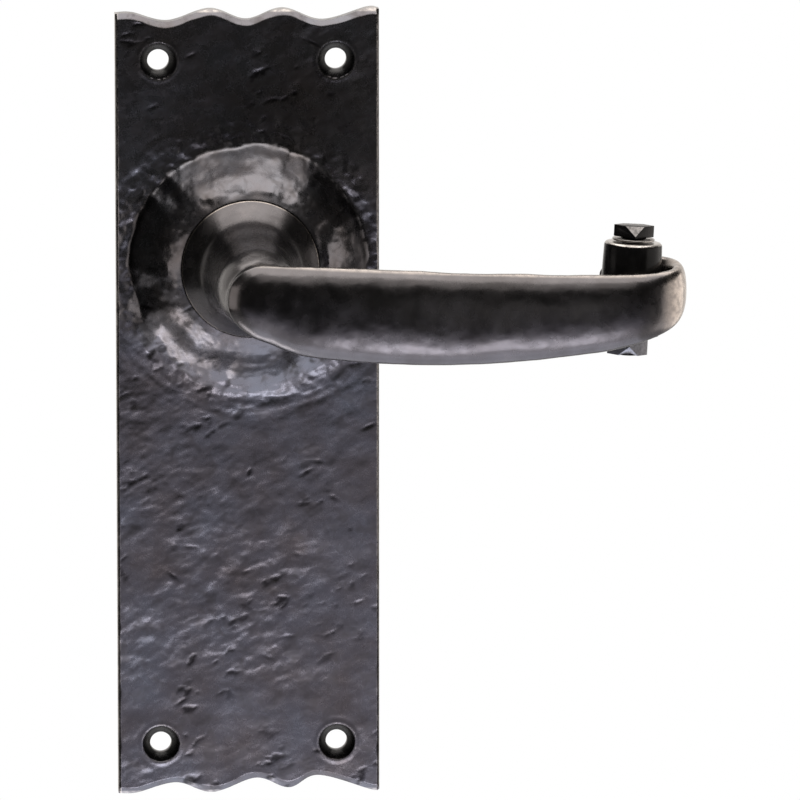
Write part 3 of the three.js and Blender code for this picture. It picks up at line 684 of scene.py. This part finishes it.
def strap():
    """The flat bar from its rounded end at the neck round the curl to its tip."""
    curve = catmull_rom(STRAP, 24)
    steps = np.linalg.norm(np.diff(curve[:, [0, 1, 4]], axis=0), axis=1)
    length_at = np.concatenate([[0], np.cumsum(steps)])
    length = length_at[-1]
    body = np.arange(START_ROUNDING, length - TIP_ROUNDING, STRAP_STEP)
    quarter = np.linspace(0, math.pi / 2, 13)[1:]
    start = START_ROUNDING * (1 - np.cos(quarter))
    tip = length - TIP_ROUNDING * (1 - np.cos(quarter))
    places = np.concatenate([start, body[1:], tip[::-1]])
    shares = np.concatenate([np.sin(quarter), np.ones(len(body) - 1), np.sin(quarter)[::-1]])
    rows = np.column_stack([np.interp(places, length_at, curve[:, k]) for k in range(5)])
    along = np.gradient(rows[:, :2], axis=0)
    along /= np.linalg.norm(along, axis=1)[:, None]
    angle = np.arange(STRAP_SIDES) * 2 * math.pi / STRAP_SIDES
    u, v = (np.sign(c) * np.abs(c) ** (2 / SQUARENESS) for c in (np.cos(angle), np.sin(angle)))
    rings = []
    for (x, y, low, high, thick), (tx, ty), share in zip(rows, along, shares):
        out = u * share * thick / 2
        z = (low + high) / 2 + v * share * (high - low) / 2
        rings.append(np.column_stack([x - ty * out, y + tx * out, z]))
    return outward(mesh_from("strap", *loft(rings)))


def collar_and_journal():
    """What is turned on the lever: collar edge, washer seat, and journal with its clip groove."""
    start_y, end_y = -21.5, -18  # the turned surface comes out of the cast one between these
    curve = [(r, y) for r, y in catmull_rom(NECK_FLARE, 16) if y >= start_y]
    flare = [(r - 0.06 + 0.1 * smoothstep(start_y, end_y, y), y) for r, y in curve if y < -14.55]
    groove, groove_front, groove_back = CLIP_GROOVE
    return turned(
        [
            (0, start_y),
            *flare,
            (COLLAR_RADIUS - 0.12, -14.5),
            (COLLAR_RADIUS - 0.03, -14.38),
            (COLLAR_RADIUS, -14.22),
            (COLLAR_RADIUS, COLLAR_BACK_Y - 0.15),
            (COLLAR_RADIUS - 0.15, COLLAR_BACK_Y),
            (WAVE_SEAT_RADIUS, COLLAR_BACK_Y),
            (WAVE_SEAT_RADIUS, WAVE_SEAT_Y),
            (JOURNAL_RADIUS, WAVE_SEAT_Y),
            (JOURNAL_RADIUS, groove_front),
            (groove, groove_front),
            (groove, groove_back),
            (JOURNAL_RADIUS, groove_back),
            (JOURNAL_RADIUS, JOURNAL_END_Y - 0.25),
            (JOURNAL_RADIUS - 0.25, JOURNAL_END_Y),
            (0, JOURNAL_END_Y),
        ],
        192,
        (0, 0, AXIS_Z),
    )


def lever_cutters():
    """Square socket of the spindle, the journal's flats and the hole of the grub screw."""
    reach = 2
    depth = reach - SOCKET_FRONT_Y
    socket = moved(box_mesh((SOCKET_SIDE, depth, SOCKET_SIDE)), 0, reach - depth / 2, AXIS_Z)
    flat_depth = reach - FLAT_FRONT_Y
    flats = [
        moved(box_mesh((4, flat_depth, 30)), side * (JOURNAL_FLAT + 2), reach - flat_depth / 2, AXIS_Z)
        for side in (-1, 1)
    ]
    top = -SOCKET_SIDE / 2 + 1
    hole = turned_upright([(0, -20), (GRUB_HOLE_RADIUS, -20), (GRUB_HOLE_RADIUS, top), (0, top)], 48)
    return [socket, *flats, moved(hole, 0, GRUB_SCREW_Y, AXIS_Z)]


def smoothed(mesh, iterations, weights=None):
    """The mesh with its vertices evened out, each as far as its weight says."""
    body = add_object("smoothed", mesh)
    modifier = body.modifiers.new("smooth", "SMOOTH")
    modifier.factor = 0.5
    modifier.iterations = iterations
    if weights is not None:
        group = body.vertex_groups.new(name="weights")
        for i in np.nonzero(weights > 0.01)[0]:
            group.add([int(i)], float(weights[i]), "REPLACE")
        modifier.vertex_group = group.name
    return evaluated(body)


def cast_lever():
    """Neck and strap as one skin, melted together where they meet and marked by hand work."""
    neck = [(0, -50), (4.5, -49.6), *catmull_rom(NECK_FLARE[:-1], 10).tolist(), (10.8, -16), (0, -16)]
    joined = combined(turned(neck, 160, (0, 0, AXIS_Z)), [strap()], "UNION")
    body = add_object("lever", joined)
    remesh = body.modifiers.new("remesh", "REMESH")
    remesh.mode = "VOXEL"
    remesh.voxel_size = VOXEL * MM
    mesh = evaluated(body)
    x, y, z = positions(mesh).T
    near_neck = 1 - smoothstep(10, 15, np.hypot(x, z - AXIS_Z))
    joint = smoothstep(-40, -45, y) * (1 - smoothstep(-47.5, -49.5, y)) * near_neck
    mesh = smoothed(mesh, JOINT_SMOOTHING, joint)
    mesh = smoothed(mesh, EVEN_SMOOTHING)
    places = positions(mesh)
    normals = np.array([v.normal for v in mesh.vertices])
    broad = np.array([noise.fractal(Vector(p) / 15, 1, 2, 2) for p in places])
    fine = np.array([noise.fractal(Vector(p) / 4.6, 1, 2, 3) for p in places])
    depth = HAND_MARKS * np.clip(broad + 0.22 * fine - 0.35, -1.6, 0)
    depth *= smoothstep(21.5, 27, -places[:, 1])
    depth *= 1 - 0.6 * smoothstep(60, 72, places[:, 0])
    places += normals * depth[:, None]
    mesh.vertices.foreach_set("co", (places * MM).astype(np.float32).ravel())
    return mesh


def add_lever_wear_and_sheen(mesh):
    """Marks the collar's edge as worn, and the strap's upper edge and the curl's end as lighter, partly from
    wear and partly as painted highlight.
    """
    x, y, z = positions(mesh).T
    below_top = np.abs(np.interp(x, *zip(*TOP_EDGE)) - z)
    # partly wear, partly a painted highlight along the strap's upper edge
    upper_edge_wear_and_sheen = (1 - smoothstep(0.1, 0.9, below_top)) * (y < -48) * (x > -2)
    from_axis = np.hypot(x, z - AXIS_Z)
    collar_edge = np.exp(-(((from_axis - COLLAR_RADIUS + 0.05) / 0.12) ** 2)) * (y < -14.1) * (y > -14.6)
    # the curl's end gets lighter towards its tip, partly as wear and partly as painted highlight
    wear = np.maximum(0.5 * upper_edge_wear_and_sheen, smoothstep(74, 81, x))
    add_attribute(mesh, "wear", np.maximum(wear, collar_edge))


def lever_handle():
    mesh = combined(cast_lever(), [collar_and_journal()], "UNION")
    mesh = combined(mesh, lever_cutters(), "DIFFERENCE")
    add_lever_wear_and_sheen(mesh)
    finish_piece("lever_cast", mesh, smooth_iron(), "lever", "smooth_iron", "lever_handle", sharp=42)


# ---- Pin in the curl, made round its own axis ----------------------------------------------------


def at_pin(mesh):
    """Puts what was made round the Z axis into its place in the curl."""
    mesh.transform(Matrix.Translation(Vector(PIN_PLACE) * MM) @ Matrix.Rotation(PIN_LEAN, 4, "Y"))
    return mesh


def turned_upright(profile, segments=96):
    """Turned body on the Z axis from a profile of (radius, z)."""
    mesh = turned(profile, segments)
    mesh.transform(Matrix.Rotation(math.pi / 2, 4, "X"))
    return mesh


def ring_profile(inner, outer, low, high, round_by):
    """Rectangular section with its outer corners rounded."""
    steps = np.linspace(0, math.pi / 2, 6)
    corner = [(outer - round_by * (1 - math.cos(a)), round_by * (1 - math.sin(a))) for a in steps]
    bottom = [(radius, low + rise) for radius, rise in reversed(corner)]
    top = [(radius, high - rise) for radius, rise in corner]
    return [(inner, low), *bottom, *top, (inner, high)]


def rub(mesh, amount):
    """Sets how far each polygon is rubbed down to bare metal, as a function of its normal."""
    attribute = mesh.attributes.new("rubbed", "FLOAT", "FACE")
    attribute.data.foreach_set("value", np.array([amount(p.normal) for p in mesh.polygons], np.float32))
    return mesh


def is_cut_corner(normal):
    """Whether a polygon of a head is one of its cut corners, which face outward and up."""
    return abs(normal.y) > 0.6 and normal.z > 0.6


def box_mesh(size, turn=0.0):
    x, y, z = (v / 2 for v in size)
    verts = [(i * x, j * y, k * z) for i in (-1, 1) for j in (-1, 1) for k in (-1, 1)]
    faces = [(0, 1, 3, 2), (4, 6, 7, 5), (0, 4, 5, 1), (2, 3, 7, 6), (0, 2, 6, 4), (1, 5, 7, 3)]
    mesh = mesh_from("box", verts, faces)
    mesh.transform(Matrix.Rotation(turn, 4, "Z"))
    return mesh


def bevelled(mesh, width):
    body = add_object("bevelled", mesh)
    bevel = body.modifiers.new("bevel", "BEVEL")
    bevel.width = width * MM
    bevel.segments = 2
    bevel.limit_method = "ANGLE"
    bevel.angle_limit = math.radians(28)
    return evaluated(body)


def faceted_head(height):
    """Square head on its base, a corner to the front, with the front and back upper corner cut off."""
    head = box_mesh((HEAD_SIDE, HEAD_SIDE, height), math.pi / 4)
    cutters = []
    for side in (-1, 1):
        outward_way = Vector((0, side, 1)).normalized()
        middle = Vector((0, side * (HEAD_SIDE / math.sqrt(2) - CORNER_CUT / 2), (height - CORNER_CUT) / 2))
        cutter = box_mesh((2 * HEAD_SIDE, HEAD_SIDE, HEAD_SIDE))
        cutter.transform(Matrix.Rotation(math.pi / 4, 4, "X"))
        cutter.transform(Matrix.Translation((middle + outward_way * HEAD_SIDE / 2) * MM))
        cutters.append(cutter)
    head = combined(head, cutters, "DIFFERENCE")
    head.transform(Matrix.Translation((0, 0, (HEAD_BASE + height / 2) * MM)))
    return head


def barrel():
    """The tapered sleeve, rubbed bare on its upper end, which its light bare colour also makes a painted
    highlight.
    """
    foot_radius = SLEEVE_RADIUS + SLEEVE_FLARE
    profile = [
        (BORE_RADIUS, -SLEEVE_HALF_LENGTH),
        (foot_radius - 0.35, -SLEEVE_HALF_LENGTH),
        (foot_radius - 0.1, -SLEEVE_HALF_LENGTH + 0.1),
        (foot_radius, -SLEEVE_HALF_LENGTH + 0.35),
        (SLEEVE_RADIUS + 0.25, 0),
        (SLEEVE_RADIUS, SLEEVE_HALF_LENGTH - 0.7),
        (SLEEVE_RADIUS - 0.08, SLEEVE_HALF_LENGTH - 0.35),
        (SLEEVE_RADIUS - 0.3, SLEEVE_HALF_LENGTH - 0.1),
        (SLEEVE_RADIUS - 0.7, SLEEVE_HALF_LENGTH),
        (BORE_RADIUS, SLEEVE_HALF_LENGTH),
    ]
    # upward faces are rubbed bare: partly wear, partly a painted highlight on the top
    return rub(turned_upright(profile, 128), lambda normal: 1.0 if normal.z > 0.3 else 0.0)


def rod(radius, low, high):
    return turned_upright([(0, low), (radius, low), (radius, high), (0, high)], 64)


def bolt():
    shank = rod(SHANK_RADIUS, -HEAD_BASE - NUT_HEIGHT, HEAD_BASE + HEAD_HEIGHT / 2)
    mesh = bevelled(combined(faceted_head(HEAD_HEIGHT), [shank], "UNION"), HEAD_BEVEL)
    return rub(mesh, lambda normal: float(is_cut_corner(normal)))


def nut():
    bore = rod(BORE_RADIUS, HEAD_BASE - 1, HEAD_BASE + NUT_HEIGHT + 1)
    mesh = bevelled(combined(faceted_head(NUT_HEIGHT), [bore], "DIFFERENCE"), HEAD_BEVEL)
    rub(mesh, lambda normal: 1.0 if is_cut_corner(normal) else 0.45)
    mesh.transform(Matrix.Rotation(math.pi, 4, "X"))
    return mesh


def pin():
    washer_steel = plated_steel("washer_steel", (0.2, 0.19, 0.18), (0.34, 0.32, 0.3), 0.25, 0.4)
    # the barrel's bare colour is lighter than the bolt's: its rubbed upper end is partly wear, partly a
    # painted highlight
    barrel_iron = pin_iron("barrel_iron", (0.34, 0.32, 0.3))
    finish_piece("sleeve", at_pin(barrel()), barrel_iron, "lever", "pin_iron", "pin_sleeve")
    inner = SLEEVE_HALF_LENGTH + GAP
    outer = inner + WASHER_THICKNESS
    for name, low, high in (("top", inner, outer), ("bottom", -outer, -inner)):
        washer = turned_upright(ring_profile(BORE_RADIUS, WASHER_RADIUS, low, high, 0.12))
        node = f"pin_washer_{name}"
        finish_piece(f"washer_{name}", at_pin(washer), washer_steel, "lever", "pin_iron", node)
    bolt_iron = pin_iron("bolt_iron", (0.13, 0.124, 0.122))
    finish_piece("bolt", at_pin(bolt()), bolt_iron, "lever", "pin_iron", "pin_bolt", sharp=28)
    nut_iron = pin_iron("nut_iron", (0.22, 0.22, 0.24))
    finish_piece("nut", at_pin(nut()), nut_iron, "lever", "pin_iron", "pin_nut", sharp=28)


# ---- Pieces on the spindle axis ------------------------------------------------------------------


def softened(node, material, slot, body, width):
    """Copy of a CAD node with its edges broken, which stands for it."""
    bm = bmesh.new()
    bm.from_mesh(frame["nodes"][node].data)
    bmesh.ops.remove_doubles(bm, verts=bm.verts, dist=1e-6)
    bmesh.ops.dissolve_limit(bm, angle_limit=math.radians(0.5), verts=bm.verts, edges=bm.edges)
    mesh = bpy.data.meshes.new(node)
    bm.to_mesh(mesh)
    bm.free()
    finish_piece(f"{node}_finished", bevelled(mesh, width), material, body, slot, node, sharp=35)


def tube(path, radius, sides=20):
    """Round wire along a path that stays near the plane of X and Z, with domed ends."""
    path = np.asarray(path, float)
    along = np.gradient(path, axis=0)
    along /= np.linalg.norm(along, axis=1)[:, None]
    across = np.cross(along, (0, 1, 0))
    across /= np.linalg.norm(across, axis=1)[:, None]
    upward = np.cross(across, along)
    angle = np.arange(sides) * 2 * math.pi / sides
    dome = [math.radians(a) for a in (80, 55, 30)]
    stations = [(0, -math.sin(q), math.cos(q)) for q in dome]
    stations += [(i, 0, 1) for i in range(len(path))]
    stations += [(-1, math.sin(q), math.cos(q)) for q in reversed(dome)]
    rings = []
    for i, ahead, share in stations:
        out = np.outer(np.cos(angle), across[i]) + np.outer(np.sin(angle), upward[i])
        rings.append(path[i] + radius * (ahead * along[i] + share * out))
    return outward(mesh_from("tube", *loft(rings)))


def return_spring(material):
    """Torsion spring: two turns of wire from a leg on the plate's pin to a leg on the driver's arm."""
    fixed_leg = STOP_ANGLES[1] + (STOP_PIN_RADIUS + WIRE_RADIUS + GAP) / STOP_RADIUS
    moving_leg = ARM_ANGLE - (ARM_HALF_WIDTH + WIRE_RADIUS + GAP) / STOP_RADIUS
    bend = math.radians(8)
    turn = fixed_leg + 4 * math.pi - moving_leg

    def at(radius, angle, y):
        return (radius * math.cos(angle), y, AXIS_Z + radius * math.sin(angle))

    def leg(angle, towards_coil, y):
        near = angle - towards_coil * math.radians(1.5)
        ends = ((SPRING_LEG_RADIUS, angle), (SPRING_RADIUS + 1.6, angle), (SPRING_RADIUS + 0.5, near))
        return [at(radius, turned_by, y) for radius, turned_by in ends]

    shares = np.linspace(0, 1, 37)
    coil = [
        at(
            SPRING_RADIUS,
            fixed_leg - bend - share * (turn - 2 * bend),
            SPRING_FRONT_Y + share * (SPRING_BACK_Y - SPRING_FRONT_Y),
        )
        for share in shares
    ]
    points = [*leg(fixed_leg, 1, SPRING_FRONT_Y), *coil, *reversed(leg(moving_leg, -1, SPRING_BACK_Y))]
    wire = tube(catmull_rom(points, 6), WIRE_RADIUS)
    obj = finish_piece("spring_wire", wire, material, None, "spring_steel", "return_spring")
    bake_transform(obj)


def spindle_pieces():
    zinc = plated_steel("zinc_steel", (0.42, 0.43, 0.44), (0.6, 0.6, 0.6), 0.26, 0.4)
    bar_grain = (3, 0.25, 3)
    bar_steel = plated_steel("bar_steel", (0.4, 0.4, 0.41), (0.58, 0.58, 0.57), 0.24, 0.38, bar_grain)
    spring = plated_steel("spring_steel", (0.16, 0.17, 0.19), (0.3, 0.31, 0.33), 0.22, 0.34)
    black = plated_steel("blackened_steel", (0.025, 0.025, 0.027), (0.05, 0.05, 0.052), 0.32, 0.45)
    softened("spindle", bar_steel, "zinc_steel", "lever", 0.22)
    softened("grub_screw", black, "blackened_steel", "lever", 0.15)
    softened("bearing_bush", bronze(), "bronze", "plate", 0.15)
    softened("thrust_washer", nylon(), "nylon", "plate", 0.12)
    softened("wave_washer", spring, "spring_steel", "lever", 0.05)
    softened("driver_plate", zinc, "zinc_steel", "lever", 0.12)
    softened("retaining_clip", spring, "spring_steel", "lever", 0.1)
    return_spring(spring)
    softened("stop_pin_rest", zinc, "zinc_steel", "plate", 0.2)
    softened("stop_pin_travel", zinc, "zinc_steel", "plate", 0.2)
    softened("cover_plate", zinc, "zinc_steel", "plate", 0.15)
    for i in (1, 2, 3):
        softened(f"cover_screw_{i}", zinc, "zinc_steel", "plate", 0.1)


# ---- Studio --------------------------------------------------------------------------------------

# The view of the photo, in metres and millimetres of lens.
TARGET = Vector((0.029, -0.010, 0.00135))
DISTANCE = 1.8
AZIMUTH = math.radians(-3.8)
ELEVATION = math.radians(9.2)
LENS = 420.07

FLOOR_Z = -0.75
FLOOR_RADIUS = 1.6


def camera():
    data = bpy.data.cameras.new("camera")
    data.lens = LENS
    data.sensor_width = 36
    obj = add_object("camera", data)
    towards = Vector(
        (
            math.sin(AZIMUTH) * math.cos(ELEVATION),
            -math.cos(AZIMUTH) * math.cos(ELEVATION),
            math.sin(ELEVATION),
        )
    )
    obj.location = TARGET + towards * DISTANCE
    obj.rotation_euler = (-towards).to_track_quat("-Z", "Y").to_euler()
    bpy.context.scene.camera = obj


def area_light(name, place, aim, size, radiance, color):
    """Lamp that the camera doesn't see, of the same radiance whatever its size."""
    data = bpy.data.lights.new(name, "AREA")
    data.shape = "RECTANGLE"
    data.size, data.size_y = size
    data.energy = radiance * math.pi * size[0] * size[1]
    data.color = color
    obj = add_object(name, data)
    obj.location = place
    obj.rotation_euler = (Vector(aim) - Vector(place)).to_track_quat("-Z", "Y").to_euler()
    obj.visible_camera = False


def world():
    """White for the camera and behind the part, dark in front of it, where dark metal mirrors the room."""
    scene_world = bpy.data.worlds.new("studio")
    bpy.context.scene.world = scene_world
    scene_world.use_nodes = True
    tree = scene_world.node_tree
    background = tree.nodes["Background"]
    coordinates = tree.nodes.new("ShaderNodeTexCoord")
    split = tree.nodes.new("ShaderNodeSeparateXYZ")
    tree.links.new(coordinates.outputs["Generated"], split.inputs["Vector"])
    ramp = tree.nodes.new("ShaderNodeValToRGB")
    remap = tree.nodes.new("ShaderNodeMapRange")
    remap.inputs["From Min"].default_value = -1
    tree.links.new(split.outputs["Y"], remap.inputs["Value"])
    tree.links.new(remap.outputs["Result"], ramp.inputs["Fac"])
    ramp.color_ramp.elements[0].position = 0.74
    ramp.color_ramp.elements[0].color = (0.022, 0.022, 0.02, 1)
    ramp.color_ramp.elements[1].position = 0.92
    ramp.color_ramp.elements[1].color = (1.1, 1.05, 1.0, 1)
    path = tree.nodes.new("ShaderNodeLightPath")
    mix = tree.nodes.new("ShaderNodeMix")
    mix.data_type = "RGBA"
    tree.links.new(path.outputs["Is Camera Ray"], mix.inputs[0])
    tree.links.new(ramp.outputs["Color"], mix.inputs[6])
    mix.inputs[7].default_value = (1, 1, 1, 1)
    tree.links.new(mix.outputs[2], background.inputs["Color"])


def floor():
    mesh = bpy.data.meshes.new("floor")
    angles = np.linspace(0, 2 * math.pi, 96, endpoint=False)
    verts = [(FLOOR_RADIUS * math.cos(a), FLOOR_RADIUS * math.sin(a), FLOOR_Z) for a in angles]
    mesh.from_pydata(verts, [], [tuple(range(len(verts)))])
    material = bpy.data.materials.new("floor")
    material.use_nodes = True
    shader = material.node_tree.nodes["Principled BSDF"]
    shader.inputs["Base Color"].default_value = (0.8, 0.82, 0.86, 1)
    shader.inputs["Roughness"].default_value = 0.9
    mesh.materials.append(material)
    add_object("floor", mesh)


def studio():
    world()
    floor()
    # name, place, aim, size, radiance, colour
    area_light("top", (0.02, 0.0, 1.1), (0.02, 0.0, 0), (1.6, 2.0), 3.8, (1, 0.96, 0.92))
    area_light("front_top", (0.05, -0.95, 0.72), (0.03, 0, 0), (0.8, 0.4), 1.3, (1, 0.96, 0.92))
    area_light("front_dim", (0.05, -1.2, 0.07), (0.05, 0, 0.02), (0.3, 0.4), 0.07, (1, 1, 0.93))
    area_light("strap_front", (0.065, -0.2, 0.018), (0.065, 0, 0.018), (0.05, 0.04), 0.35, (1, 0.98, 0.96))
    area_light("front_panel", (0.03, -0.17, -0.116), (0.03, 0, -0.116), (0.26, 0.2), 0.64, (0.92, 0.9, 1.06))
    area_light("low_near", (0.02, -0.6, -0.39), (0.03, -0.04, 0.02), (0.11, 0.2), 8, (0.94, 0.94, 1.04))
    area_light("low_far", (0.16, -0.6, -0.39), (0.05, -0.04, 0.02), (0.09, 0.2), 7, (0.94, 0.94, 1.04))
    area_light("low_left", (-0.22, -0.055, -0.34), (-0.014, -0.01, 0.012), (0.13, 0.24), 5.2, (1, 0.97, 0.98))
    area_light("left", (-0.05, -0.055, 0.028), (0, -0.045, 0.028), (0.05, 0.035), 1.6, (1, 0.93, 0.88))
    area_light("right", (0.16, -0.045, 0.005), (0.08, -0.045, 0.012), (0.14, 0.11), 2, (1, 0.94, 0.89))
    area_light("below", (0.02, -0.1, -0.7), (0.02, 0, 0), (0.9, 0.9), 1.5, (0.88, 0.93, 1.1))
    bpy.context.scene.view_settings.view_transform = "Standard"


camera()
studio()
backplate()
lever_handle()
pin()
spindle_pieces()
